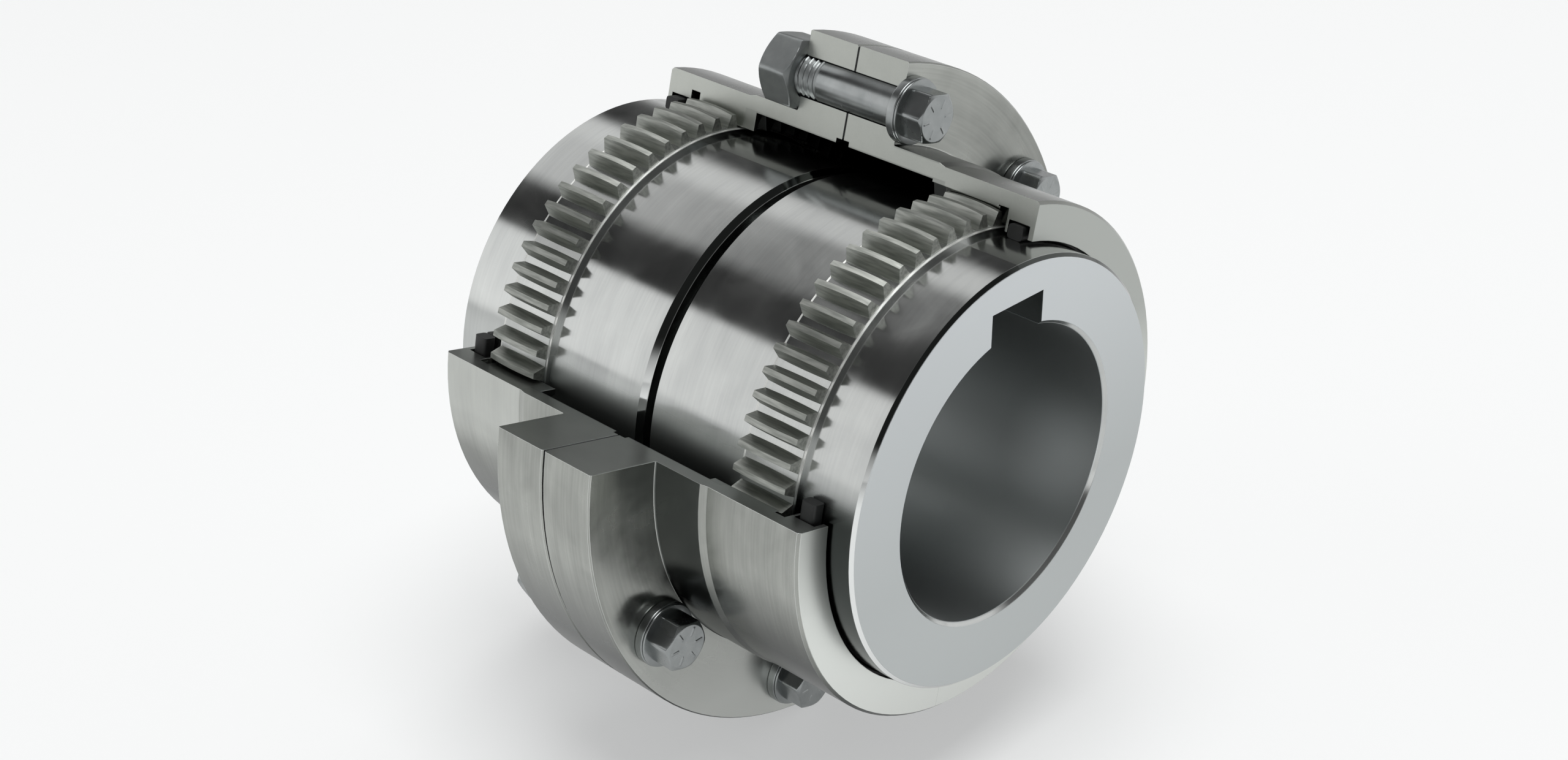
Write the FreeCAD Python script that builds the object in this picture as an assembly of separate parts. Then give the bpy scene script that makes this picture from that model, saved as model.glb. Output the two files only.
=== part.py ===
import FreeCAD, Part
import os
from math import asin, copysign, cos, degrees, radians, sin, tan

# A flanged gear coupling, opened by a cutaway as on a display model. All lengths are in millimetres.
# Two toothed hubs sit on the two shaft ends. Two flanged sleeves with internal teeth run over them,
# bolted together flange to flange with a gasket between. The crowned hub teeth slide and tilt in the
# straight sleeve teeth, and a seal ring in each sleeve's end closes it against the hub.
# X is the shaft axis, Z is up, and the origin is on the axis midway between the flanges.
# Angles round the shaft are in degrees from +Y towards +Z, so that straight up is 90.

# Teeth: straight in the sleeves, crowned at the tips and on the flanks of the hubs
tooth_count = 64
tooth_module = 2.54
pressure_angle = 20.0
tooth_backlash = 0.35
hub_dedendum = 1.2 * tooth_module
sleeve_dedendum = 1.25 * tooth_module
hub_face_width = 22.4
tip_crown = 0.8
flank_crown = 0.25

# Hubs
hub_length = 92.0
hub_gap = 3.2
bore_diameter = 104.8
key_width = 25.4
hub_outer_chamfer = 1.3
hub_inner_chamfer = 2.0
bore_chamfer = 1.4
ledge_overrun = 0.9
ledge_drop = 0.2
ledge_height = 1.83

# Sleeve along the axis: its end is measured from the origin, and the rest follows inwards from there
sleeve_end = 84.0
end_wall = 1.9
gland_width = 8.5
gland_wall = 0.9
relief_width = 4.3
internal_tooth_length = 27.9
mesh_inset = 10.0
collar_length = 20.0
collar_bevel = 2.6
sleeve_end_chamfer = 1.0
foot_bevel = 0.4
flange_edge_break = 0.5

# Sleeve across the axis: walls and steps, worked outwards from the teeth
barrel_wall = 6.15
collar_step = 0.8
hollow_clearance = 0.95
relief_clearance = 0.65
lip_clearance = 1.2
flange_rim = 16.05

# Flange joint
flange_thickness = 21.6
gasket_thickness = 0.8
gasket_inset = 0.4
joint_recess_depth = 2.5
joint_recess_height = 1.7

# Seal rings
seal_width = 5.9
seal_height = 5.0
seal_bevel = 0.6
seal_running_clearance = 0.05
seal_top_clearance = 0.55

# Bolts, washers and nuts
bolt_count = 8
bolt_diameter = 15.875
bolt_hole_clearance = 0.3
nut_bore_clearance = 0.1
bolt_end_reach = 3.0
bolt_end_chamfer = 1.5
seat_clearance = 0.1
washer_diameter = 23.2
washer_thickness = 3.2
head_disc_inset = 0.3
head_disc_thickness = 0.8
head_across_flats = 16.5
head_height = 9.0
head_corner_angle = 47.0
nut_across_flats = 23.8
nut_height = 13.9
hex_chamfer_share = 0.955
hex_chamfer_slope = 30.0

# Grease plugs, one in each sleeve, on the side away from the cutaway
plug_diameter = 10.0
plug_clearance = 0.05
plug_inset = 0.5
plug_socket = 4.8
plug_socket_depth = 3.2
plug_angle = 0.0

# Cutaway: the open quarter lies between a steep plane through the axis and a flat one below it
cutaway_turn = -13.4
cutaway_floor = -6.76
bolt_behind_cut = 2.2
seal_stub_upper = {"left": 4.0, "right": 1.5}
seal_stub_lower = 6.2

# Sizes worked out from the values above
half_pitch = 180.0 / tooth_count
pitch_radius = tooth_count * tooth_module / 2
hub_tip_radius = pitch_radius + tooth_module
hub_root_radius = pitch_radius - hub_dedendum
ledge_radius = hub_root_radius - ledge_drop
hub_radius = ledge_radius - ledge_height
bore_radius = bore_diameter / 2
sleeve_tip_radius = pitch_radius - tooth_module
sleeve_root_radius = pitch_radius + sleeve_dedendum
hollow_radius = sleeve_root_radius + hollow_clearance
relief_radius = sleeve_root_radius + relief_clearance
joint_recess_radius = hollow_radius + joint_recess_height
barrel_radius = sleeve_root_radius + barrel_wall
collar_radius = barrel_radius + collar_step
lip_radius = hub_radius + lip_clearance
seal_inner_radius = hub_radius + seal_running_clearance
seal_outer_radius = seal_inner_radius + seal_height
gland_radius = seal_outer_radius + seal_top_clearance
seat_radius = max(washer_diameter, nut_across_flats) / 2
bolt_circle_radius = collar_radius + foot_bevel + seat_clearance + seat_radius
flange_radius = bolt_circle_radius + flange_rim
bolt_hole_radius = bolt_diameter / 2 + bolt_hole_clearance

joint_face = gasket_thickness / 2
flange_face = joint_face + flange_thickness
gland_end = sleeve_end - end_wall
gland_start = gland_end - gland_width
lip_start = gland_start - gland_wall
internal_tooth_end = lip_start - relief_width
internal_tooth_start = internal_tooth_end - internal_tooth_length
mesh_centre = internal_tooth_end - mesh_inset
hub_inner_end = hub_gap / 2
hub_outer_end = hub_inner_end + hub_length

upper_cut_angle = 90.0 + cutaway_turn
first_bolt_angle = upper_cut_angle - bolt_behind_cut
# Angle at which each side has the middle of a sleeve tooth, and so of a gap between hub teeth
sleeve_tooth_angle = {"left": upper_cut_angle, "right": upper_cut_angle + half_pitch}

ORIGIN = FreeCAD.Vector(0, 0, 0)
X_AXIS = FreeCAD.Vector(1, 0, 0)
# Distance by which cutting tools run past what they cut
OVERRUN = 3.0


def turned(outline):
    """Solid of revolution about X. (x, r) is a straight run to a point, and (xm, rm, x, r) is an arc
    through (xm, rm) to (x, r)."""
    edges = []
    start = FreeCAD.Vector(outline[0][0], 0, outline[0][1])
    for entry in outline[1:] + outline[:1]:
        end = FreeCAD.Vector(entry[-2], 0, entry[-1])
        if len(entry) == 4:
            middle = FreeCAD.Vector(entry[0], 0, entry[1])
            edges.append(Part.Arc(start, middle, end).toShape())
        else:
            edges.append(Part.LineSegment(start, end).toShape())
        start = end
    return Part.Face(Part.Wire(edges)).revolve(ORIGIN, X_AXIS, 360)


def round_bar(radius, x_start, x_end, y=0.0, z=0.0):
    """Cylinder along X."""
    return Part.makeCylinder(radius, x_end - x_start, FreeCAD.Vector(x_start, y, z), X_AXIS)


def around(shape, angle):
    """Copy of a shape made at the top of the circle, moved to an angle round the shaft."""
    copy = shape.copy()
    copy.rotate(ORIGIN, X_AXIS, angle - 90.0)
    return copy


def for_side(shape, side):
    """The right side is modelled, and the left one is its mirror image."""
    if side == "left":
        return shape.mirror(ORIGIN, X_AXIS)
    return shape


def hub_gap_cutter():
    """Space between two crowned hub teeth, at the top of the circle. Its two sides are ruled between an
    arc at the root and an arc above the tips, so that each tooth is thickest at mid-width."""
    quarter_pitch = radians(90.0 / tooth_count)
    slope = tan(radians(pressure_angle) + quarter_pitch)
    reach = hub_face_width / 2 + OVERRUN
    bulge = flank_crown * (reach / (hub_face_width / 2)) ** 2
    wires = []
    for z in (hub_root_radius, hub_tip_radius + OVERRUN / 2):
        rise = z - pitch_radius * cos(quarter_pitch)
        middle = pitch_radius * sin(quarter_pitch) + tooth_backlash / 2 + rise * slope
        corners = [
            FreeCAD.Vector(mesh_centre - reach, -middle - bulge, z),
            FreeCAD.Vector(mesh_centre + reach, -middle - bulge, z),
            FreeCAD.Vector(mesh_centre + reach, middle + bulge, z),
            FreeCAD.Vector(mesh_centre - reach, middle + bulge, z),
        ]
        wires.append(Part.Wire([
            Part.Arc(corners[0], FreeCAD.Vector(mesh_centre, -middle, z), corners[1]).toShape(),
            Part.LineSegment(corners[1], corners[2]).toShape(),
            Part.Arc(corners[2], FreeCAD.Vector(mesh_centre, middle, z), corners[3]).toShape(),
            Part.LineSegment(corners[3], corners[0]).toShape(),
        ]))
    return Part.makeLoft(wires, True, True)


def sleeve_gap_cutter():
    """Space between two straight sleeve teeth, at the top of the circle."""
    quarter_pitch = radians(90.0 / tooth_count)
    slope = tan(radians(pressure_angle) - quarter_pitch)
    x_start = internal_tooth_start - OVERRUN
    x_end = internal_tooth_end + relief_width / 2
    half_widths = []
    heights = (sleeve_tip_radius - OVERRUN / 2, sleeve_root_radius)
    for z in heights:
        rise = z - pitch_radius * cos(quarter_pitch)
        half_widths.append(pitch_radius * sin(quarter_pitch) - rise * slope)
    outline = Part.makePolygon([
        FreeCAD.Vector(x_start, -half_widths[0], heights[0]),
        FreeCAD.Vector(x_start, half_widths[0], heights[0]),
        FreeCAD.Vector(x_start, half_widths[1], heights[1]),
        FreeCAD.Vector(x_start, -half_widths[1], heights[1]),
        FreeCAD.Vector(x_start, -half_widths[0], heights[0]),
    ])
    return Part.Face(outline).extrude(FreeCAD.Vector(x_end - x_start, 0, 0))


def with_gaps(blank, cutter, first_angle):
    """Cut one gap per tooth round a blank."""
    cutters = []
    for index in range(tooth_count):
        cutters.append(around(cutter, first_angle + 2 * half_pitch * index))
    return blank.cut(cutters)


def cutting_block(upper_stub=0.0, lower_stub=0.0):
    """Block that opens the cutaway. The stubs leave that much more standing at each cut."""
    size = 2 * flange_radius
    floor = cutaway_floor + lower_stub
    corner = FreeCAD.Vector(-size, -size - upper_stub, floor)
    block = Part.makeBox(2 * size, size, size - floor, corner)
    block.rotate(ORIGIN, X_AXIS, cutaway_turn)
    return block


def hub(side):
    """Hub: a turned body with a crowned tooth ring on a low ledge, bored and keyed for its shaft."""
    half_face = hub_face_width / 2
    ledge_start = mesh_centre - half_face - ledge_overrun
    ledge_end = mesh_centre + half_face + ledge_overrun
    blank = turned([
        (hub_inner_end, bore_radius + bore_chamfer),
        (hub_inner_end, hub_radius - hub_inner_chamfer),
        (hub_inner_end + hub_inner_chamfer, hub_radius),
        (ledge_start, hub_radius),
        (ledge_start, ledge_radius),
        (mesh_centre - half_face, ledge_radius),
        (mesh_centre - half_face, hub_tip_radius - tip_crown),
        (mesh_centre, hub_tip_radius, mesh_centre + half_face, hub_tip_radius - tip_crown),
        (mesh_centre + half_face, ledge_radius),
        (ledge_end, ledge_radius),
        (ledge_end, hub_radius),
        (hub_outer_end - hub_outer_chamfer, hub_radius),
        (hub_outer_end, hub_radius - hub_outer_chamfer),
        (hub_outer_end, bore_radius + bore_chamfer),
        (hub_outer_end - bore_chamfer, bore_radius),
        (hub_inner_end + bore_chamfer, bore_radius),
    ])
    # A square key sits half its height deep in the hub, measured at the edge of the keyway
    keyway_top = (bore_radius ** 2 - (key_width / 2) ** 2) ** 0.5 + key_width / 2
    corner = FreeCAD.Vector(hub_inner_end - OVERRUN, -key_width / 2, 0)
    keyway = Part.makeBox(hub_length + 2 * OVERRUN, key_width, keyway_top, corner)
    toothed = with_gaps(blank.cut(keyway), hub_gap_cutter(), sleeve_tooth_angle[side])
    return for_side(toothed, side)


def sleeve_blank():
    """Sleeve before its teeth and holes: flange, stepped barrel, hollow, relief groove and seal gland."""
    bevel_start = flange_face + collar_length
    return turned([
        (joint_face, joint_recess_radius),
        (joint_face, flange_radius - flange_edge_break),
        (joint_face + flange_edge_break, flange_radius),
        (flange_face - flange_edge_break, flange_radius),
        (flange_face, flange_radius - flange_edge_break),
        (flange_face, collar_radius + foot_bevel),
        (flange_face + foot_bevel, collar_radius),
        (bevel_start, collar_radius),
        (bevel_start + collar_bevel, barrel_radius),
        (sleeve_end - sleeve_end_chamfer, barrel_radius),
        (sleeve_end, barrel_radius - sleeve_end_chamfer),
        (sleeve_end, lip_radius),
        (gland_end, lip_radius),
        (gland_end, gland_radius),
        (gland_start, gland_radius),
        (gland_start, lip_radius),
        (lip_start, lip_radius),
        (lip_start, relief_radius),
        (internal_tooth_end, relief_radius),
        (internal_tooth_end, sleeve_tip_radius),
        (internal_tooth_start, sleeve_tip_radius),
        (internal_tooth_start, hollow_radius),
        (joint_face + joint_recess_depth, hollow_radius),
        (joint_face + joint_recess_depth, joint_recess_radius),
    ])


def plug_centre():
    """Distance along the axis from the origin to the grease plugs."""
    return (flange_face + internal_tooth_start) / 2


def sleeve(side):
    """Flanged sleeve with internal teeth, bolt holes and a grease hole, opened by the cutaway."""
    toothed = with_gaps(sleeve_blank(), sleeve_gap_cutter(), sleeve_tooth_angle[side] + half_pitch)
    holes = []
    bolt_hole = round_bar(bolt_hole_radius, -OVERRUN, flange_face + OVERRUN, 0, bolt_circle_radius)
    for index in range(bolt_count):
        holes.append(around(bolt_hole, bolt_angle(index)))
    base = FreeCAD.Vector(plug_centre(), 0, hollow_radius - OVERRUN)
    depth = collar_radius - hollow_radius + 2 * OVERRUN
    grease_hole = Part.makeCylinder(plug_diameter / 2 + plug_clearance, depth, base)
    holes.append(around(grease_hole, plug_angle))
    return for_side(toothed.cut(holes).cut(cutting_block()), side)


def grease_plug(side):
    """Flush plug with a hexagonal socket, in the wall of a sleeve."""
    outer = collar_radius - plug_inset
    length = outer - hollow_radius - plug_inset
    base = FreeCAD.Vector(plug_centre(), 0, hollow_radius + plug_inset)
    body = Part.makeCylinder(plug_diameter / 2, length, base)
    socket = hexagon(plug_socket, 0, plug_socket_depth + OVERRUN)
    socket.rotate(ORIGIN, FreeCAD.Vector(0, 1, 0), -90)
    socket.translate(FreeCAD.Vector(plug_centre(), 0, outer - plug_socket_depth))
    return for_side(around(body.cut(socket), plug_angle), side)


def flange_gasket():
    """Thin gasket between the flanges, open where the cutaway is."""
    inner = joint_recess_radius + gasket_inset
    outer = flange_radius - flange_edge_break - gasket_inset
    ring = turned([(-joint_face, inner), (-joint_face, outer), (joint_face, outer), (joint_face, inner)])
    holes = []
    bolt_hole = round_bar(bolt_hole_radius, -OVERRUN, OVERRUN, 0, bolt_circle_radius)
    for index in range(bolt_count):
        holes.append(around(bolt_hole, bolt_angle(index)))
    return ring.cut(holes).cut(cutting_block())


def seal_ring(side):
    """Rubber seal ring on the hub inside the gland. Its two ends stand out past the sleeve's cuts."""
    middle = (gland_start + gland_end) / 2
    x_start = middle - seal_width / 2
    x_end = middle + seal_width / 2
    ring = turned([
        (x_start, seal_inner_radius),
        (x_start, seal_outer_radius - seal_bevel),
        (x_start + seal_bevel, seal_outer_radius),
        (x_end - seal_bevel, seal_outer_radius),
        (x_end, seal_outer_radius - seal_bevel),
        (x_end, seal_inner_radius),
    ])
    return for_side(ring.cut(cutting_block(seal_stub_upper[side], seal_stub_lower)), side)


def hexagon(across_flats, x_start, x_end, corner_angle=90.0):
    """Hexagonal bar along X, with a corner at the given angle."""
    corner_radius = across_flats / 2 / cos(radians(30))
    points = []
    for index in range(7):
        angle = radians(corner_angle + 60.0 * index)
        points.append(FreeCAD.Vector(x_start, corner_radius * cos(angle), corner_radius * sin(angle)))
    return Part.Face(Part.makePolygon(points)).extrude(FreeCAD.Vector(x_end - x_start, 0, 0))


def chamfered_hexagon(across_flats, x_base, x_face, corner_angle):
    """Hexagonal bar along X, either way, from its base to its outer face, where its corners are
    chamfered."""
    face_radius = hex_chamfer_share * across_flats / 2
    corner_radius = across_flats / 2 / cos(radians(30))
    depth = (corner_radius - face_radius) * tan(radians(hex_chamfer_slope))
    envelope = turned([
        (x_base, 0),
        (x_base, corner_radius),
        (x_face - copysign(depth, x_face - x_base), corner_radius),
        (x_face, face_radius),
        (x_face, 0),
    ])
    return hexagon(across_flats, x_base, x_face, corner_angle).common(envelope)


def bolt_angle(index):
    """Angle of a bolt round the shaft. The first lies just behind the upper cut."""
    return first_bolt_angle - 360.0 / bolt_count * index


def in_cutaway(angle):
    """Whether a bolt at this angle lies in the open quarter."""
    past_upper_cut = (angle - upper_cut_angle) % 360.0
    opened = 90.0 + degrees(asin(-cutaway_floor / bolt_circle_radius))
    return 0.0 < past_upper_cut < opened


def at_bolt(shape, angle):
    """Move a shape made on the X axis to a bolt's place, without turning it."""
    place = radians(angle)
    copy = shape.copy()
    copy.translate(FreeCAD.Vector(0, bolt_circle_radius * cos(place), bolt_circle_radius * sin(place)))
    return copy


def washer():
    """Flat round washer under a bolt's head."""
    x_end = flange_face + washer_thickness
    disc = round_bar(washer_diameter / 2, flange_face, x_end)
    return disc.cut(round_bar(bolt_hole_radius, flange_face - OVERRUN, x_end + OVERRUN))


def bolt():
    """Bolt with a small hexagonal head on a wide disc. Its thread is modelled plain."""
    disc_start = flange_face + washer_thickness
    head_start = disc_start + head_disc_thickness
    disc_radius = washer_diameter / 2 - head_disc_inset
    shank_radius = bolt_diameter / 2
    x_end = -(flange_face + nut_height + bolt_end_reach)
    body = turned([
        (head_start, 0),
        (head_start, disc_radius - head_disc_thickness / 2),
        (disc_start + head_disc_thickness / 2, disc_radius),
        (disc_start, disc_radius),
        (disc_start, shank_radius),
        (x_end + bolt_end_chamfer, shank_radius),
        (x_end, shank_radius - bolt_end_chamfer),
        (x_end, 0),
    ])
    head_end = head_start + head_height
    head = chamfered_hexagon(head_across_flats, head_start, head_end, head_corner_angle)
    return body.fuse(head)


def nut(angle):
    """Hexagonal nut on the left flange, with one flat facing the barrel."""
    x_face = -(flange_face + nut_height)
    corner_angle = angle + 30.0
    body = chamfered_hexagon(nut_across_flats, -flange_face, x_face, corner_angle)
    bore = bolt_diameter / 2 + nut_bore_clearance
    return body.cut(round_bar(bore, x_face - OVERRUN, OVERRUN - flange_face))


def export(name, shape):
    """Write one sub-part to its own file."""
    shape.exportStep("parts/" + name + ".step")


os.makedirs("parts", exist_ok=True)
for side in ("left", "right"):
    export("hub_" + side, hub(side))
    export("sleeve_" + side, sleeve(side))
    export("seal_" + side, seal_ring(side))
    export("grease_plug_" + side, grease_plug(side))
export("flange_gasket", flange_gasket())
standing = [bolt_angle(index) for index in range(bolt_count) if not in_cutaway(bolt_angle(index))]
for number, angle in enumerate(standing, start=1):
    export("bolt_" + str(number), at_bolt(bolt(), angle))
    export("washer_" + str(number), at_bolt(washer(), angle))
    export("nut_" + str(number), at_bolt(nut(angle), angle))
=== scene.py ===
from math import cos, pi, radians, sin, tan

import bpy
import numpy as np
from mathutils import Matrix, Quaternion, Vector


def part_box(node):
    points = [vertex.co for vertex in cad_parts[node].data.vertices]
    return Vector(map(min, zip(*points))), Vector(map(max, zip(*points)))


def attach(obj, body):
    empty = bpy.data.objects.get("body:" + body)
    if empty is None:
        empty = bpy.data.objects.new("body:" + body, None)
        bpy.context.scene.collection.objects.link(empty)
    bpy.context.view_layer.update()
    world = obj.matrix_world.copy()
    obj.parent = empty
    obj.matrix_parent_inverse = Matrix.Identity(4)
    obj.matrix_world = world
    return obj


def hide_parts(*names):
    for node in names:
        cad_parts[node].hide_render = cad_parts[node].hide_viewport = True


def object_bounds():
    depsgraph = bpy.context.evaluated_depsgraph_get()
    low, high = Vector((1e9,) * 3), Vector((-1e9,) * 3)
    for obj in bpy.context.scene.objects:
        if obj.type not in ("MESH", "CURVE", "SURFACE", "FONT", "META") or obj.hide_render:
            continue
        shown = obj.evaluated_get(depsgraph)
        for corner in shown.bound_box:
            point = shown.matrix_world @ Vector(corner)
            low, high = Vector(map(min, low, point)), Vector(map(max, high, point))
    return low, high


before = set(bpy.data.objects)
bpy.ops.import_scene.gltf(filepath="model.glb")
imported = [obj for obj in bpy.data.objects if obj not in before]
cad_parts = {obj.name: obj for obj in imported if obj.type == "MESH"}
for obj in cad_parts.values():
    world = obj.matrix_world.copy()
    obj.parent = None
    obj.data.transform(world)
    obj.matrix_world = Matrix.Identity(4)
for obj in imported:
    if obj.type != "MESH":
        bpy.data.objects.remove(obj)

model_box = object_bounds()

# The camera, at the photo's angle. Its place was solved from the circles of the flanges, sleeves and hubs.
# It stands in front, to the right and above, a short distance away, so the near hub looks larger.
camera_place = Vector((0.4855, -0.5186, 0.3935))
camera_target = Vector((0.0033, -0.0117, 0.0056))
camera_roll = radians(0.26)
sensor_width = 36.0
focal_pixels = 3770.75
photo_width = 2560

camera_data = bpy.data.cameras.new("camera")
camera_data.sensor_width = sensor_width
camera_data.lens = sensor_width * focal_pixels / photo_width
camera = bpy.data.objects.new("camera", camera_data)
camera.location = camera_place
camera.rotation_mode = "QUATERNION"
aim = (camera_target - camera_place).to_track_quat("-Z", "Y")
camera.rotation_quaternion = aim @ Quaternion((0, 0, 1), camera_roll)
bpy.context.collection.objects.link(camera)
bpy.context.scene.camera = camera
bpy.context.scene.view_settings.view_transform = "Standard"


# The floor: a wide sheet of white paper that the flange rims stand on. It is lit like the part, takes its
# shadow and shows in the metal.
def linear(code):
    """Turn an sRGB hex colour into linear red, green, blue and alpha, by the sRGB curve."""
    parts = np.array([int(code[i:i + 2], 16) for i in (1, 3, 5)]) / 255
    curved = np.where(parts <= 0.04045, parts / 12.92, ((parts + 0.055) / 1.055) ** 2.4)
    return (*curved.tolist(), 1.0)


def add(tree, kind, inputs=None, **settings):
    """Add one node. inputs maps an input's name or number to a value or to another node's output. A Map
    Range takes its value at 0, the range it comes from at 1 and 2, and the range it goes to at 3 and 4. A
    Mix takes its share at 0, and two numbers at 2 and 3 or two colours at 6 and 7, mixed at output 2."""
    node = tree.nodes.new(kind)
    for name, value in settings.items():
        setattr(node, name, value)
    for key, value in (inputs or {}).items():
        if isinstance(value, bpy.types.NodeSocket):
            tree.links.new(value, node.inputs[key])
        else:
            node.inputs[key].default_value = value
    return node


def new_material(name):
    """A material with an empty node tree, its Principled shader and its output."""
    material = bpy.data.materials.new(name)
    material.use_nodes = True
    tree = material.node_tree
    tree.nodes.clear()
    shader = add(tree, "ShaderNodeBsdfPrincipled")
    add(tree, "ShaderNodeOutputMaterial", {"Surface": shader.outputs[0]})
    return material, tree, shader


def grid_mesh(name, points, close_rows=False, close_columns=False, caps=False):
    """Piece made of a grid of points, rows by columns by three, with a quad between each four neighbours.
    Closing joins the last row or column to the first, and caps fill the first and last rows. A closed
    surface faces outwards where (step along a row) cross (step to the next row) does."""
    rows, columns = points.shape[:2]
    index = np.arange(rows * columns).reshape(rows, columns)
    first, last = index[0, ::-1].tolist(), index[-1].tolist()
    if close_rows:
        index = np.vstack([index, index[:1]])
    if close_columns:
        index = np.hstack([index, index[:, :1]])
    quads = np.stack([index[:-1, :-1], index[:-1, 1:], index[1:, 1:], index[1:, :-1]], axis=-1)
    faces = quads.reshape(-1, 4).tolist()
    if caps:
        faces += [first, last]
    mesh = bpy.data.meshes.new(name)
    mesh.from_pydata(points.reshape(-1, 3), [], faces)
    mesh.shade_smooth()
    mesh.set_sharp_from_angle(angle=radians(35))
    piece = bpy.data.objects.new(name, mesh)
    bpy.context.collection.objects.link(piece)
    return piece


floor_level = model_box[0].z
floor_half = 6.0
paper_hex = "#F7F8F8"
paper_roughness = 0.9
paper_lift = 0.45

ends = np.linspace(-floor_half, floor_half, 2)
floor_x, floor_y = np.meshgrid(ends, ends)
floor = grid_mesh("floor", np.stack([floor_x, floor_y, np.full_like(floor_x, floor_level)], axis=-1))
material, tree, shader = new_material("white paper floor")
shader.inputs["Base Color"].default_value = linear(paper_hex)
shader.inputs["Roughness"].default_value = paper_roughness
# The background stays white and the shadow soft, to the eye and in the metal that mirrors it
ray = add(tree, "ShaderNodeLightPath")
seen = add(tree, "ShaderNodeMath", {0: ray.outputs["Is Camera Ray"], 1: ray.outputs["Is Glossy Ray"]},
           operation="MAXIMUM")
lifted = add(tree, "ShaderNodeMath", {0: seen.outputs[0], 1: paper_lift}, operation="MULTIPLY")
glow = add(tree, "ShaderNodeEmission", {"Color": linear(paper_hex), "Strength": 1.0})
paper = add(tree, "ShaderNodeMixShader", {0: lifted.outputs[0], 1: shader.outputs[0], 2: glow.outputs[0]})
tree.links.new(paper.outputs[0], tree.get_output_node("ALL").inputs["Surface"])
floor.data.materials.append(material)


# The light: one wide softbox overhead in a white studio with soft cards and dark gaps between them, all
# lying along the shaft. The hubs mirror the cards on the left. Each card list gives (angle, level) pairs,
# with the angle over the shaft at 0 at the front horizon, 90 overhead and 180 at the back horizon.
cards_far_left = [(-180, 0.30), (-12, 1.35), (46, 1.20), (49, 0.04), (73, 0.05), (82, 1.05), (129, 1.05),
                  (137, 0.04), (165, 0.10), (180, 0.30)]
cards_near_left = [(-180, 0.30), (-12, 1.05), (45, 1.00), (49, 0.05), (78, 0.06), (92, 0.15), (108, 0.22),
                   (116, 0.85), (130, 0.85), (138, 0.03), (165, 0.10), (180, 0.30)]
cards_right = [(-180, 0.90), (-12, 1.10), (12, 1.10), (20, 0.14), (136, 0.14), (148, 1.00), (180, 0.90)]
# Where one list gives way to the next, as the X part of the direction that light comes from
far_to_near = (-0.73, -0.58)
near_to_right = (-0.40, -0.05)
overhead_side = 3.0
overhead_place = (0.4, 0.0, 4.2)
overhead_level = 5.5

world = bpy.data.worlds.new("studio")
world.use_nodes = True
tree = world.node_tree
tree.nodes.clear()
# The angle over the shaft that light comes from, as a share of a whole turn
way = add(tree, "ShaderNodeTexCoord").outputs["Generated"]
axes = add(tree, "ShaderNodeSeparateXYZ", {0: way})
forwards = add(tree, "ShaderNodeMath", {0: axes.outputs["Y"], 1: -1.0}, operation="MULTIPLY")
over = add(tree, "ShaderNodeMath", {0: axes.outputs["Z"], 1: forwards.outputs[0]}, operation="ARCTAN2")
share = add(tree, "ShaderNodeMapRange", {0: over.outputs[0], 1: -pi, 2: pi}).outputs[0]
levels = []
for cards in (cards_far_left, cards_near_left, cards_right):
    ramp = add(tree, "ShaderNodeValToRGB", {0: share})
    elements = ramp.color_ramp.elements
    for number, (angle, level) in enumerate(cards):
        position = (angle + 180) / 360
        stop = elements[0] if number == 0 else elements.new(position)
        stop.position = position
        stop.color = (level, level, level, 1)
    elements.remove(elements[-1])
    levels.append(ramp.outputs[0])
around = levels[0]
for (start, end), level in zip((far_to_near, near_to_right), levels[1:]):
    step = add(tree, "ShaderNodeMapRange", {0: axes.outputs["X"], 1: start, 2: end},
               interpolation_type="SMOOTHSTEP")
    around = add(tree, "ShaderNodeMix", {0: step.outputs[0], 6: around, 7: level},
                 data_type="RGBA").outputs[2]
# Past the floor's edge the eye sees the same white as the paper
eye = add(tree, "ShaderNodeLightPath").outputs["Is Camera Ray"]
backdrop = add(tree, "ShaderNodeMix", {0: eye, 6: around, 7: linear(paper_hex)}, data_type="RGBA")
sky = add(tree, "ShaderNodeBackground", {"Color": backdrop.outputs[2]})
add(tree, "ShaderNodeOutputWorld", {"Surface": sky.outputs[0]})
bpy.context.scene.world = world

softbox = bpy.data.lights.new("softbox_overhead", "AREA")
softbox.shape = "SQUARE"
softbox.size = overhead_side
softbox.energy = pi * overhead_side ** 2 * overhead_level
holder = bpy.data.objects.new("softbox_overhead", softbox)
holder.location = overhead_place
bpy.context.collection.objects.link(holder)


# The two hubs: carbon steel, turned all over, ground bright on the barrel, with hobbed teeth left dull.
# Each is pressed and keyed on its shaft end. The turning marks run round the shaft.
def round_the_shaft(tree, along, around):
    """Coordinates for marks that a lathe leaves: along says how fine they are along the shaft and
    outwards, and around how fine they are round it. The angle enters as a cosine and a sine, so the
    pattern has no seam: it is a place in four dimensions, given as a vector and a fourth number."""
    place = add(tree, "ShaderNodeTexCoord").outputs["Object"]
    axes = add(tree, "ShaderNodeSeparateXYZ", {0: place})
    across = add(tree, "ShaderNodeVectorMath", {0: place, 1: (0, 1, 1)}, operation="MULTIPLY")
    radius = add(tree, "ShaderNodeVectorMath", {0: across.outputs[0]}, operation="LENGTH")
    facing = add(tree, "ShaderNodeVectorMath", {0: across.outputs[0]}, operation="NORMALIZE")
    facing_axes = add(tree, "ShaderNodeSeparateXYZ", {0: facing.outputs[0]})
    spot = add(tree, "ShaderNodeCombineXYZ",
               {"X": axes.outputs["X"], "Y": radius.outputs["Value"], "Z": facing_axes.outputs["Y"]})
    scaled = add(tree, "ShaderNodeVectorMath", {0: spot.outputs[0], 1: (along, along, around)},
                 operation="MULTIPLY")
    fourth = add(tree, "ShaderNodeMath", {0: facing_axes.outputs["Z"], 1: around}, operation="MULTIPLY")
    return scaled.outputs[0], fourth.outputs[0]


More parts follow.
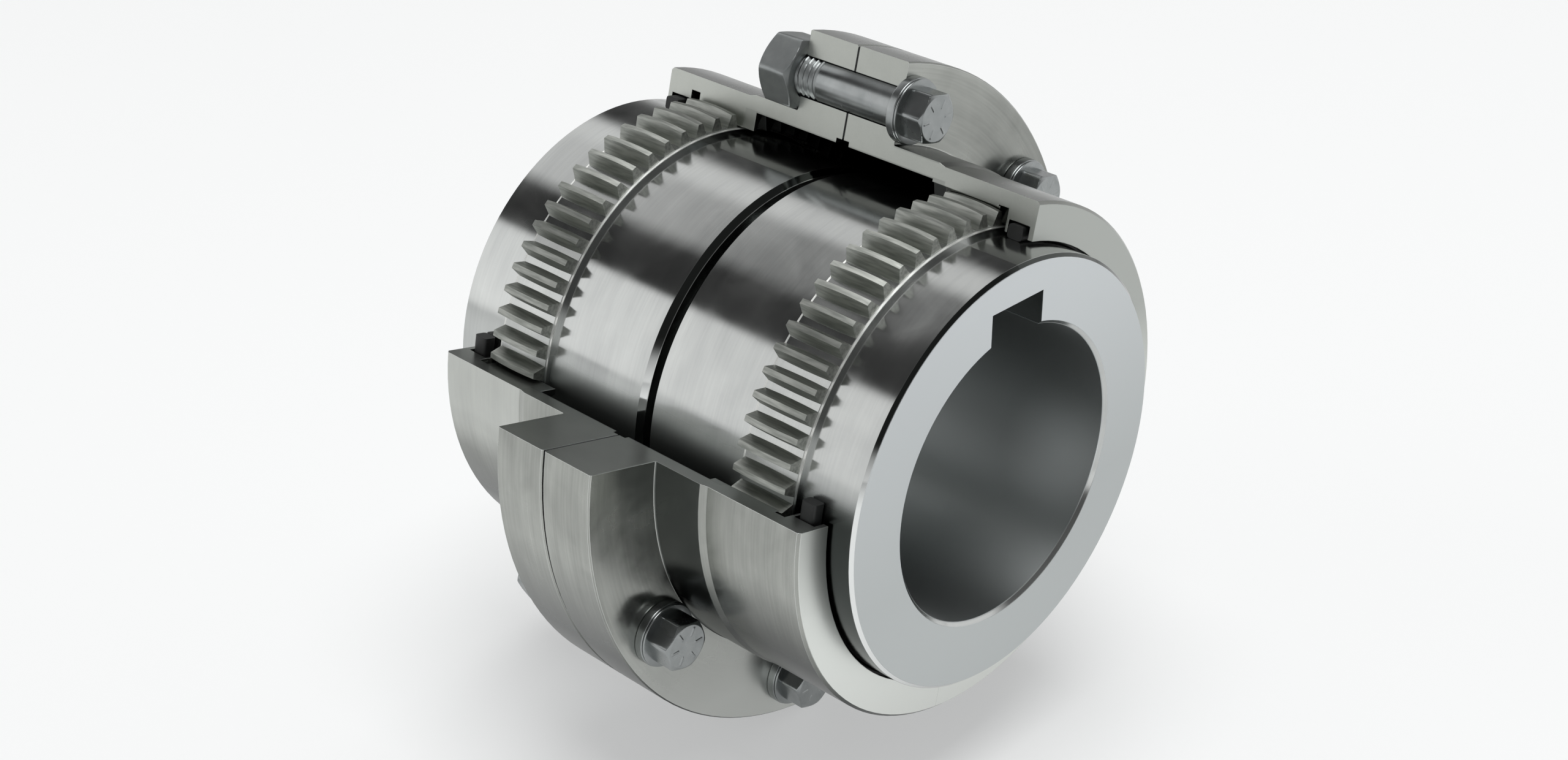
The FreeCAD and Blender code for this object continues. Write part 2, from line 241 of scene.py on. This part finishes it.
def zone(tree, *ranges, most=1.0):
    """How far a finish covers each place: most, times a share for each range. A range is a value and the
    two ends between which its share goes from 0 to 1."""
    share = most
    for value, start, end in ranges:
        step = add(tree, "ShaderNodeMapRange", {0: value, 1: start, 2: end})
        share = add(tree, "ShaderNodeMath", {0: share, 1: step.outputs[0]}, operation="MULTIPLY").outputs[0]
    return share


# The marks lie about 0.8 mm apart: real ones are nearer 0.2 mm, too fine to show. The streaks are about
# 8 mm wide and the clouds about 22 mm.
marks_per_metre, marks_round = 1200.0, 3.0
streaks_per_metre, streaks_round = 120.0, 2.5
clouds_per_metre = 45.0
cloud_share = 0.5
mark_share = 0.22
tone_span = (0.32, 0.68)
gloss_span = (0.35, 0.65)
edge_wear_and_highlight_hex = "#E4E6E4"
edge_wear_and_highlight_span = (0.998, 0.93)


def turned_steel(name, dark_hex, light_hex, gloss, mark_depth, edge_radius):
    """Turned carbon steel. Fine marks and broad streaks run round the shaft, and soft clouds vary the
    tone and the gloss, as oil and handling do. The highlights are drawn out across the marks. Where
    edge_radius isn't 0, edges are rounded and lightened as wide as that: partly wear, partly a painted
    highlight. It returns the material, its nodes and shader, and for a point its place, its X, Y and Z,
    its radius and how far it is off X = 0."""
    material, tree, shader = new_material(name)
    fine, fine_fourth = round_the_shaft(tree, marks_per_metre, marks_round)
    marks = add(tree, "ShaderNodeTexNoise", {"Vector": fine, "W": fine_fourth, "Scale": 1.0, "Detail": 3.0},
                noise_dimensions="4D")
    broad, broad_fourth = round_the_shaft(tree, streaks_per_metre, streaks_round)
    streaks = add(tree, "ShaderNodeTexNoise",
                  {"Vector": broad, "W": broad_fourth, "Scale": 1.0, "Detail": 4.0}, noise_dimensions="4D")
    place = add(tree, "ShaderNodeTexCoord").outputs["Object"]
    clouds = add(tree, "ShaderNodeTexNoise",
                 {"Vector": place, "Scale": clouds_per_metre, "Detail": 5.0, "Distortion": 0.6})
    mixed = add(tree, "ShaderNodeMix", {0: cloud_share, 2: streaks.outputs[0], 3: clouds.outputs[0]})
    lined = add(tree, "ShaderNodeMix", {0: mark_share, 2: mixed.outputs[0], 3: marks.outputs[0]})
    lighter = zone(tree, (lined.outputs[0], *tone_span))
    colour = add(tree, "ShaderNodeMix", {0: lighter, 6: linear(dark_hex), 7: linear(light_hex)},
                 data_type="RGBA")
    rough = add(tree, "ShaderNodeMapRange",
                {0: clouds.outputs[0], 1: gloss_span[0], 2: gloss_span[1], 3: gloss[0], 4: gloss[1]})
    bump = add(tree, "ShaderNodeBump", {"Height": marks.outputs[0], "Strength": 0.3, "Distance": mark_depth})
    if edge_radius:
        # Edges are lightened, partly as wear and partly as a painted highlight, where the softened normal
        # leaves the face's own
        soft = add(tree, "ShaderNodeBevel", {"Radius": edge_radius}, samples=6).outputs[0]
        own = add(tree, "ShaderNodeNewGeometry").outputs["Normal"]
        likeness = add(tree, "ShaderNodeVectorMath", {0: soft, 1: own}, operation="DOT_PRODUCT")
        edge_wear_and_highlight = zone(tree, (likeness.outputs["Value"], *edge_wear_and_highlight_span))
        colour = add(tree, "ShaderNodeMix", {0: edge_wear_and_highlight, 6: colour.outputs[2], 7: linear(edge_wear_and_highlight_hex)},
                     data_type="RGBA")
        tree.links.new(soft, bump.inputs["Normal"])
    round_way = add(tree, "ShaderNodeVectorMath", {0: (1, 0, 0), 1: place}, operation="CROSS_PRODUCT")
    for socket, value in (("Base Color", colour.outputs[2]), ("Roughness", rough.outputs[0]),
                          ("Normal", bump.outputs[0]), ("Tangent", round_way.outputs[0])):
        tree.links.new(value, shader.inputs[socket])
    shader.inputs["Metallic"].default_value = 1.0
    shader.inputs["Anisotropic"].default_value = 0.55
    shader.inputs["Anisotropic Rotation"].default_value = 0.25
    x, y, z = add(tree, "ShaderNodeSeparateXYZ", {0: place}).outputs
    across = add(tree, "ShaderNodeVectorMath", {0: place, 1: (0, 1, 1)}, operation="MULTIPLY")
    radius = add(tree, "ShaderNodeVectorMath", {0: across.outputs[0]}, operation="LENGTH").outputs["Value"]
    off_middle = add(tree, "ShaderNodeMath", {0: x}, operation="ABSOLUTE").outputs[0]
    return material, tree, shader, place, (x, y, z), radius, off_middle


def cover(tree, shader, share, finish, grade=0.0):
    """Where share is 1, the surface takes another finish, which is a roughness and a colour. One with two
    colours goes from the first to the second as grade goes from 0 to 1."""
    roughness, first, last = (*finish, finish[-1])[:3]
    colour = add(tree, "ShaderNodeMix", {0: grade, 6: linear(first), 7: linear(last)}, data_type="RGBA")
    for socket, kind, slots, value in (("Base Color", "RGBA", (6, 7, 2), colour.outputs[2]),
                                       ("Roughness", "FLOAT", (2, 3, 0), roughness)):
        before = shader.inputs[socket].links[0].from_socket
        mixed = add(tree, "ShaderNodeMix", {0: share, slots[0]: before, slots[1]: value}, data_type=kind)
        tree.links.new(mixed.outputs[slots[2]], shader.inputs[socket])


def dress(node, material):
    """Give a carried-over piece its material."""
    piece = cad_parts[node]
    piece.data.materials.clear()
    piece.data.materials.append(material)


# The upper cut face holds the shaft's axis, and cut_turn is how far it leans from upright. The lower face
# is square to it, and cut_floor is its height over the axis: it lies a little below.
cut_turn = radians(-13.4)
cut_floor = -0.00676
# Each finish is a roughness and one or two colours
painted_highlight_rim = (0.55, "#E6E7E4")
painted_shade_near_cut = (0.55, "#8A8E8C")
painted_deep_shade_near_cut = (0.20, "#464948")
polished_with_painted_dark = (0.08, "#E2E4E3", "#474A48")
hobbed = (0.45, "#8C8F8A", "#ABADA8")
faced_with_painted_light = (0.34, "#B8BCBC", "#CACED0")
bore_with_painted_highlight = (0.40, "#A9ADAD", "#E0E4E4")
# Where the finishes lie, in metres: each begins to show at the first number of a range and is there in
# full at the second. These are distances from X = 0.
hub_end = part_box("hub_right")[1].x
inner_chamfer = (0.0036, 0.0035)
outer_chamfer = (hub_end - 0.0013, hub_end - 0.0012)
at_hub_end = (hub_end - 0.0002, hub_end - 0.0001)
# Distance along the shaft from the middle of a tooth ring
ring_middle = 0.0584
beside_ring = (0.0112, 0.0113)
# Radii
over_ledge = (0.0777, 0.0778)
in_teeth = (0.0782, 0.0785)
over_chamfer_foot = (0.0743, 0.0744)
in_bore = (0.0527, 0.0525)
# Places along X, Y and Z
not_far_left = (-0.0584, -0.0472)
past_seal = (0.0696, 0.0706)
shade_front = (0.0, -0.010)
dark_reflection_height = (0.020, 0.040)
hub_end_light_height = (-0.02, 0.07)
# How high the painted shade reaches over the lower cut face, the painted highlight in the bore, and the
# hobbing lines
shade_height = 0.0145
highlight_place = (0.080, 0.050, -0.018)
highlight_radius = 0.028
hob_lines_along, hob_lines_across = 110, 900
hob_span = (0.35, 0.65)

hub_steel, tree, shader, place, (x, y, z), radius, off_middle = turned_steel(
    "ground hub steel", dark_hex="#B2B4B3", light_hex="#C8CAC8", gloss=(0.12, 0.19), mark_depth=0.000006,
    edge_radius=0.0)
# Beside the teeth the ledge's rim is painted bright: a painted highlight along its edge
from_ring = add(tree, "ShaderNodeMath", {0: off_middle, 1: ring_middle}, operation="SUBTRACT")
off_ring = add(tree, "ShaderNodeMath", {0: from_ring.outputs[0]}, operation="ABSOLUTE").outputs[0]
cover(tree, shader, zone(tree, (off_ring, *beside_ring), (radius, *over_ledge)), painted_highlight_rim)
# Painted shade: the steel darkens softly towards the lower cut. Outside the seal the painted shade is deeper
# and glossier.
over_cut = add(tree, "ShaderNodeVectorMath", {0: place, 1: (0, -sin(cut_turn), cos(cut_turn))},
               operation="DOT_PRODUCT").outputs["Value"]
toward_cut = add(tree, "ShaderNodeMapRange", {0: over_cut, 1: cut_floor + shade_height, 2: cut_floor},
               interpolation_type="SMOOTHSTEP").outputs[0]
shade_near_cut = zone(tree, (y, *shade_front), (x, *not_far_left), (radius, *over_chamfer_foot), most=toward_cut)
cover(tree, shader, shade_near_cut, painted_shade_near_cut)
cover(tree, shader, zone(tree, (x, *past_seal), most=shade_near_cut), painted_deep_shade_near_cut)
# The chamfers are polished, and painted darker on their upper part: a painted dark reflection
for chamfer in (inner_chamfer, outer_chamfer):
    cover(tree, shader, zone(tree, (off_middle, *chamfer), (radius, *over_chamfer_foot)), polished_with_painted_dark,
          zone(tree, (z, *dark_reflection_height)))
# Hobbing leaves lines along each tooth: a noise drawn out along the shaft, about 9 mm by 1 mm
drawn_out = add(tree, "ShaderNodeVectorMath",
                {0: place, 1: (hob_lines_along, hob_lines_across, hob_lines_across)}, operation="MULTIPLY")
hob_lines = add(tree, "ShaderNodeTexNoise", {"Vector": drawn_out.outputs[0], "Scale": 1.0, "Detail": 2.0})
cover(tree, shader, zone(tree, (radius, *in_teeth)), hobbed, zone(tree, (hob_lines.outputs[0], *hob_span)))
# The end faces are faced off, and painted a little lighter towards the top: painted light
cover(tree, shader, zone(tree, (off_middle, *at_hub_end)), faced_with_painted_light, zone(tree, (z, *hub_end_light_height)))
# The bore is even and dull, with one painted highlight: a brighter cloud where the far wall mirrors the
# light
from_highlight = add(tree, "ShaderNodeVectorMath", {0: place, 1: highlight_place}, operation="DISTANCE")
bore_highlight = add(tree, "ShaderNodeMapRange", {0: from_highlight.outputs["Value"], 1: highlight_radius, 2: 0.0},
            interpolation_type="SMOOTHSTEP")
cover(tree, shader, zone(tree, (radius, *in_bore)), bore_with_painted_highlight, bore_highlight.outputs[0])
for side in ("left", "right"):
    dress("hub_" + side, hub_steel)

# The two flanged sleeves: forged carbon steel, turned outside and bored inside, bolted together round the
# hubs. Where the display piece was cut open, the faces are milled and matte.
painted_hollow_shade = (0.50, "#565857")
faced_end_with_painted_light = (0.30, "#ADB0AC", "#DDE0DC")
painted_collar_shade = (0.22, "#585B59")
painted_shade_film = (0.28, "#404341")
painted_face_shade = (0.30, "#404341")
painted_low_light = (0.30, "#D2D4D0")
painted_barrel_light = (0.22, "#D2D4D0")
milled_upper = (0.38, "#C0C3BD", "#9FA29D")
milled_lower = (0.38, "#7E827F", "#D2D6D3")
# Some lie on thinly, by these shares
shaded_top_share = 0.70
face_shade_share = 0.28
barrel_light_share = 0.50
milled_share = 0.75
# Where the finishes lie, as distances from X = 0
sleeve_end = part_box("sleeve_right")[1].x
at_sleeve_end = (sleeve_end - 0.0002, sleeve_end - 0.0001)
between_rings = (0.0460, 0.0455)
# Radii
in_hollow = (0.0860, 0.0859)
over_bore = (0.0870, 0.0872)
on_collar = (0.0908, 0.0910)
under_flange = (0.0918, 0.0916)
past_barrel = (0.0920, 0.0924)
# Places along X, Y and Z
past_flange = (0.0221, 0.0222)
before_bevel = (0.0420, 0.0418)
on_left_barrel = (-0.0450, -0.0455)
along_cut = (-0.075, 0.075)
behind = (0.0, 0.005)
in_front = (0.005, 0.0)
hollow_shade_height = (-0.02, 0.02)
sleeve_end_light_height = (0.03, -0.02)
low_light_height = (-0.035, -0.095)
face_shade_height = (0.115, 0.070)
barrel_light_height = (-0.022, -0.004)
# Parts of the direction that a face looks in: its Z, and the size of its X
facing_down = (-0.12, -0.48)
facing_up = (0.40, 0.75)
facing_along = (0.90, 0.95)
# A point this near a cut's plane lies on the cut face
cut_tolerance = 0.00005

sleeve_steel, tree, shader, place, (x, y, z), radius, off_middle = turned_steel(
    "turned sleeve steel", dark_hex="#878985", light_hex="#B3B5B0", gloss=(0.17, 0.28), mark_depth=0.00001,
    edge_radius=0.00025)
# Inside the hollow, between the two tooth rings, the upper bore is painted dark: painted shade, where the
# hollow lies in shadow
hollow_shade = zone(tree, (radius, *in_hollow), (off_middle, *between_rings), (z, *hollow_shade_height))
cover(tree, shader, hollow_shade, painted_hollow_shade)
# The end faces are faced off, and painted lighter towards the bottom: painted light
# Painted light on the sleeves' end faces
cover(tree, shader, zone(tree, (off_middle, *at_sleeve_end)), faced_end_with_painted_light,
      zone(tree, (z, *sleeve_end_light_height)))
# The right sleeve's collar is painted darker than its barrel: painted shade in the corner by the flange
collar_shade = zone(tree, (x, *past_flange), (x, *before_bevel), (radius, *on_collar), (radius, *under_flange))
cover(tree, shader, collar_shade, painted_collar_shade)
# Undersides, and tops behind the cuts, are painted dark: painted shade
facing = add(tree, "ShaderNodeSeparateXYZ", {0: add(tree, "ShaderNodeNewGeometry").outputs["Normal"]})
upwards = facing.outputs["Z"]
cover(tree, shader, zone(tree, (radius, *over_bore), (upwards, *facing_down)), painted_shade_film)
cover(tree, shader, zone(tree, (radius, *over_bore), (upwards, *facing_up), (y, *behind), most=shaded_top_share),
      painted_shade_film)
# Painted light and shade on the faces: the low part of each face across the shaft is painted brighter, the
# flanges' faces are painted darker behind, and the left barrel is painted bright below the cut.
endwards = add(tree, "ShaderNodeMath", {0: facing.outputs["X"]}, operation="ABSOLUTE").outputs[0]
cover(tree, shader, zone(tree, (endwards, *facing_along), (z, *low_light_height)), painted_low_light)
# Painted shade on the flanges' upper faces behind
flange_face_shade = zone(tree, (radius, *past_barrel), (endwards, *facing_along), (y, *behind), (z, *face_shade_height),
                   most=face_shade_share)
cover(tree, shader, flange_face_shade, painted_face_shade)
# Painted light on the left barrel below the cut
barrel_light = zone(tree, (x, *on_left_barrel), (z, *barrel_light_height), (y, *in_front), most=barrel_light_share)
cover(tree, shader, barrel_light, painted_barrel_light)
# The two milled cut faces, whose grey changes a little from the left end to the right
rightwards = zone(tree, (x, *along_cut))
for normal, level, finish in (((0, cos(cut_turn), sin(cut_turn)), 0.0, milled_upper),
                              ((0, -sin(cut_turn), cos(cut_turn)), cut_floor, milled_lower)):
    height = add(tree, "ShaderNodeVectorMath", {0: place, 1: normal}, operation="DOT_PRODUCT")
    near = add(tree, "ShaderNodeMath", {0: height.outputs["Value"], 1: level, 2: cut_tolerance},
               operation="COMPARE")
    share = add(tree, "ShaderNodeMath", {0: near.outputs[0], 1: milled_share}, operation="MULTIPLY")
    cover(tree, shader, share.outputs[0], finish, rightwards)
for side in ("left", "right"):
    dress("sleeve_" + side, sleeve_steel)


# The gasket between the flanges: 0.8 mm of pressed black fibre, clamped by the bolts. It is dull, and
# shows only as a dark line round the joint. Its flecks are fibre ends about 0.35 mm wide.
def flecked(name, dark_hex, light_hex, flecks_per_metre, roughness):
    """Black stuff that isn't metal: a fine noise mixes a darker and a lighter black."""
    material, tree, shader = new_material(name)
    place = add(tree, "ShaderNodeTexCoord").outputs["Object"]
    flecks = add(tree, "ShaderNodeTexNoise", {"Vector": place, "Scale": flecks_per_metre, "Detail": 3.0})
    colour = add(tree, "ShaderNodeMix", {0: flecks.outputs[0], 6: linear(dark_hex), 7: linear(light_hex)},
                 data_type="RGBA")
    tree.links.new(colour.outputs[2], shader.inputs["Base Color"])
    shader.inputs["Roughness"].default_value = roughness
    return material


fibre = flecked("black fibre gasket", dark_hex="#101111", light_hex="#1F2121", flecks_per_metre=2900.0,
                roughness=0.8)
dress("flange_gasket", fibre)

# The seal rings: black nitrile rubber with a rounded section, pressed into each sleeve's end. The display
# piece's cuts leave their two ends standing out past the steel.
seal_roundness = 5.0
seal_height = 0.0050
seal_rows, seal_columns = 160, 40
stub_upper = {"left": 0.0040, "right": 0.0015}
stub_lower = 0.0062

# Moulded rubber: deep black with a dull sheen, and flecks of dust about 2 mm wide
rubber = flecked("black nitrile rubber", dark_hex="#080909", light_hex="#161818", flecks_per_metre=500.0,
                 roughness=0.5)


def oval(turn, roundness):
    """Place on a squarish oval from -1 to 1 each way: the cosine and sine of the turn, each with its
    size taken to the power 2/roundness, so that 2 gives a circle and more gives squarer corners."""
    x, y = np.cos(turn), np.sin(turn)
    return (np.sign(x) * np.abs(x) ** (2 / roundness), np.sign(y) * np.abs(y) ** (2 / roundness))


def seal_surface(low_x, high_x, outer_radius, inner_radius, stub):
    """The oval section carried round the shaft, from the lower cut under the shaft to the upper cut. At
    each radius it starts and ends where the two cut planes, moved out by the stubs, cross that radius."""
    x_way, r_way = oval(np.linspace(0, -2 * pi, seal_columns, endpoint=False), seal_roundness)
    x = (low_x + high_x) / 2 + x_way * (high_x - low_x) / 2
    r = (outer_radius + inner_radius) / 2 + r_way * (outer_radius - inner_radius) / 2
    start = cut_turn + pi + np.arcsin(-(cut_floor + stub_lower) / r)
    end = cut_turn + 2.5 * pi + np.arcsin(stub / r)
    share = np.linspace(0, 1, seal_rows)[:, None]
    angle = start + (end - start) * share
    return np.stack([x + 0 * angle, r * np.cos(angle), r * np.sin(angle)], axis=-1)


for side in ("left", "right"):
    low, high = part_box("seal_" + side)
    outer_radius = -low[2]
    inner_radius = outer_radius - seal_height
    surface = seal_surface(low[0], high[0], outer_radius, inner_radius, stub_upper[side])
    piece = grid_mesh("seal_ring_" + side, surface, close_columns=True, caps=True)
    piece.data.materials.append(rubber)
    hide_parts("seal_" + side)
    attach(piece, side + "_seal")

# The washers: plain turned steel rings with worn edges, clamped under the bolts' wide heads. The holes
# for the bolts' shanks are a close fit.
ring_columns, washer_rows = 72, 48
washer_hole_radius = 0.00824
washer_roundness = 9.0
bolt_numbers = range(1, 7)
bolt_dark_hex, bolt_light_hex = "#8A8E8E", "#A0A3A3"
grain_per_metre, stains_per_metre = 260.0, 70.0
bolt_tone_span = (0.30, 0.70)
bolt_gloss_span = (0.35, 0.65)
bolt_gloss = (0.23, 0.29)
thread_start = -0.0128
thread_blend = 0.0005
thread_roughness = 0.43


def revolved(x, radius, centre, columns):
    """Rows of points round a bolt's axis. x holds one place a row, and radius one number a row, or one a
    row and column. centre is the axis's Y and Z."""
    turn = np.linspace(0, 2 * pi, columns, endpoint=False)
    radius = radius if np.ndim(radius) == 2 else radius[:, None] * np.ones(columns)
    return np.stack([x[:, None] + 0 * radius, centre[0] + radius * np.cos(turn),
                     centre[1] + radius * np.sin(turn)], axis=-1)


# Bolt steel, drawn bright and then handled: satin, with a grain from 4 mm down and stains about 14 mm wide
bolt_steel, tree, shader = new_material("satin bolt steel")
place = add(tree, "ShaderNodeTexCoord").outputs["Object"]
grain = add(tree, "ShaderNodeTexNoise", {"Vector": place, "Scale": grain_per_metre, "Detail": 5.0})
stains = add(tree, "ShaderNodeTexNoise", {"Vector": place, "Scale": stains_per_metre, "Detail": 3.0})
mixed = add(tree, "ShaderNodeMix", {0: 0.5, 2: grain.outputs[0], 3: stains.outputs[0]})
lighter = zone(tree, (mixed.outputs[0], *bolt_tone_span))
colour = add(tree, "ShaderNodeMix", {0: lighter, 6: linear(bolt_dark_hex), 7: linear(bolt_light_hex)},
             data_type="RGBA")
rough = add(tree, "ShaderNodeMapRange",
            {0: stains.outputs[0], 1: bolt_gloss_span[0], 2: bolt_gloss_span[1], 3: bolt_gloss[0],
             4: bolt_gloss[1]})
# The rolled threads and the nuts are duller than the turned shanks and the heads
along = add(tree, "ShaderNodeSeparateXYZ", {0: place}).outputs["X"]
threaded = zone(tree, (along, thread_start, thread_start - thread_blend))
duller = add(tree, "ShaderNodeMix", {0: threaded, 2: rough.outputs[0], 3: thread_roughness})
bump = add(tree, "ShaderNodeBump", {"Height": grain.outputs[0], "Strength": 0.2, "Distance": 0.00002})
for socket, value in (("Base Color", colour.outputs[2]), ("Roughness", duller.outputs[0]),
                      ("Normal", bump.outputs[0])):
    tree.links.new(value, shader.inputs[socket])
shader.inputs["Metallic"].default_value = 1.0

for number in bolt_numbers:
    node = "washer_" + str(number)
    low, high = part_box(node)
    centre = ((low[1] + high[1]) / 2, (low[2] + high[2]) / 2)
    outer_radius = (high[1] - low[1]) / 2
    x_way, r_way = oval(np.linspace(0, -2 * pi, washer_rows, endpoint=False), washer_roundness)
    x = (low[0] + high[0]) / 2 + x_way * (high[0] - low[0]) / 2
    radius = (outer_radius + washer_hole_radius) / 2 + r_way * (outer_radius - washer_hole_radius) / 2
    piece = grid_mesh("ring_" + node, revolved(x, radius, centre, ring_columns), True, True)
    piece.data.materials.append(bolt_steel)
    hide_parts(node)
    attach(piece, "sleeve_assembly")

# The nuts: standard hexagon nuts of the bolts' steel, forged and chamfered on both faces, with a
# countersunk thread. Each is tightened on its bolt with a flat towards the shaft.
hex_columns = 144
hex_sharpness = 40
chamfer_slope = tan(radians(30))
face_share = 0.955
chamfer_steps = 10
nut_flats = 0.0238
nut_turn = radians(30)
nut_hole_radius = 0.00802
countersink = 0.0006


def hexagon_radius(across_flats, corner_angle):
    """Distance to a hexagon's side in each direction, with its corners rounded: the power mean of its
    three pairs of flats, sharper as the power grows."""
    turn = np.linspace(0, 2 * pi, hex_columns, endpoint=False) - corner_angle - pi / 6
    pairs = [np.abs(np.cos(turn - pair * pi / 3)) ** hex_sharpness for pair in range(3)]
    return across_flats / 2 / sum(pairs) ** (1 / hex_sharpness)


def chamfered(radius, depth, face_radius):
    """A hexagon's radius cut back near its face: never more than a cone that starts at the face's edge and
    widens with depth, at 30 degrees to the face."""
    cone = face_radius + depth[:, None] / chamfer_slope
    return np.minimum(radius[None, :], cone)


for number in bolt_numbers:
    node = "nut_" + str(number)
    low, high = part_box(node)
    washer_low, washer_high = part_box("washer_" + str(number))
    centre = ((washer_low[1] + washer_high[1]) / 2, (washer_low[2] + washer_high[2]) / 2)
    side = hexagon_radius(nut_flats, np.arctan2(centre[1], centre[0]) + nut_turn)
    face_radius = face_share * nut_flats / 2
    reach = (side.max() - face_radius) * chamfer_slope
    steps = np.linspace(0, reach, chamfer_steps)
    x = np.concatenate([low[0] + steps, high[0] - steps[::-1]])
    depth = np.concatenate([steps, steps[::-1]])
    outside = chamfered(side, depth, face_radius)
    bore = np.array([nut_hole_radius + countersink, nut_hole_radius, nut_hole_radius,
                     nut_hole_radius + countersink])[:, None] * np.ones(hex_columns)
    bore_x = np.array([high[0], high[0] - countersink, low[0] + countersink, low[0]])
    surface = revolved(np.concatenate([x, bore_x]), np.concatenate([outside, bore]), centre, hex_columns)
    piece = grid_mesh("hexagon_" + node, surface, True, True)
    piece.data.materials.append(bolt_steel)
    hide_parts(node)
    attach(piece, "sleeve_assembly")

# The bolts: forged, with a small hexagon on a wide disc, a turned shank and a rolled thread whose first
# turns show beside the nut. Six raised lines on each head mark the steel's grade.
shank_radius = 0.0079375
head_flats = 0.0165
head_corner_angle = radians(47)
head_height = 0.0090
disc_thickness = 0.0008
disc_radius = 0.0113
disc_round, disc_rows = 0.0003, 9
thread_pitch = 0.00231
thread_depth = 0.0009
flank_gain, crest_share = 1.25, 0.12
thread_fade = 0.0030
rows_per_turn = 8
end_chamfer = 0.0015
mark_height = 0.00018
mark_half_width = 0.00032
mark_span, mark_end_slope = (0.0036, 0.0070), 12
face_middle, face_rings = 0.0010, 26

for number in bolt_numbers:
    node = "bolt_" + str(number)
    low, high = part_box(node)
    washer_low, washer_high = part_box("washer_" + str(number))
    centre = ((washer_low[1] + washer_high[1]) / 2, (washer_low[2] + washer_high[2]) / 2)
    disc_base = high[0] - head_height - disc_thickness
    turn = np.linspace(0, 2 * pi, hex_columns, endpoint=False)

    # Shank from the chamfered end to the disc, with a right-hand thread that fades out. The thread is a
    # triangle wave with its crests and roots cut flat.
    thread_rows = int((thread_start - low[0]) / thread_pitch * rows_per_turn)
    shank_x = np.concatenate([np.linspace(low[0], thread_start, thread_rows), [0.0, disc_base]])
    depth = np.clip((thread_start - shank_x) / thread_fade, 0, 1)[:, None]
    phase = shank_x[:, None] / thread_pitch - turn / (2 * pi)
    wave = np.clip(flank_gain * np.abs(2 * (phase % 1) - 1) - crest_share, 0, 1)
    envelope = np.minimum(shank_radius, shank_radius - end_chamfer + shank_x - low[0])[:, None]
    shank = np.minimum(envelope, shank_radius - thread_depth * depth * wave)

    # Disc with two rounded edges, then the hexagon's side, its chamfer and its face. Each mark there is a
    # flat ridge with sloping sides and ends.
    corner = np.linspace(-pi / 2, pi / 2, disc_rows)
    disc_x = disc_base + disc_thickness / 2 + (disc_thickness / 2) * np.sin(corner)
    disc = (disc_radius - disc_round + disc_round * np.cos(corner))[:, None] * np.ones(hex_columns)
    side = hexagon_radius(head_flats, head_corner_angle)
    face_radius = face_share * head_flats / 2
    steps = np.linspace((side.max() - face_radius) * chamfer_slope, 0, chamfer_steps)
    face_x = high[0] - mark_height
    hex_depth = np.concatenate([[head_height - mark_height], steps])
    hex_side = chamfered(side, hex_depth, face_radius)
    face_rows = np.linspace(face_radius, face_middle, face_rings)[1:, None]
    off_line = face_rows * np.abs(np.sin((turn + pi / 6) % (pi / 3) - pi / 6))
    off_middle = np.abs(face_rows - sum(mark_span) / 2) / (mark_span[1] - mark_span[0])
    raised = (np.clip(1.5 - off_line / mark_half_width, 0, 1)
              * np.clip(mark_end_slope * (0.5 - off_middle), 0, 1))
    x = np.concatenate([shank_x, disc_x, face_x - hex_depth, np.full(len(face_rows), face_x)])
    radius = np.concatenate([shank, disc, hex_side, face_rows * np.ones(hex_columns)])
    surface = revolved(x, radius, centre, hex_columns)
    surface[-len(face_rows):, :, 0] += mark_height * raised
    piece = grid_mesh("forged_" + node, surface, close_columns=True, caps=True)
    piece.data.materials.append(bolt_steel)
    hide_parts(node)
    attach(piece, "sleeve_assembly")

# The grease plugs: socket plugs of the same steel as the bolts, one screwed flush into each sleeve's wall
# at the back. They close the holes that grease is pressed in through.
for side in ("left", "right"):
    dress("grease_plug_" + side, bolt_steel)
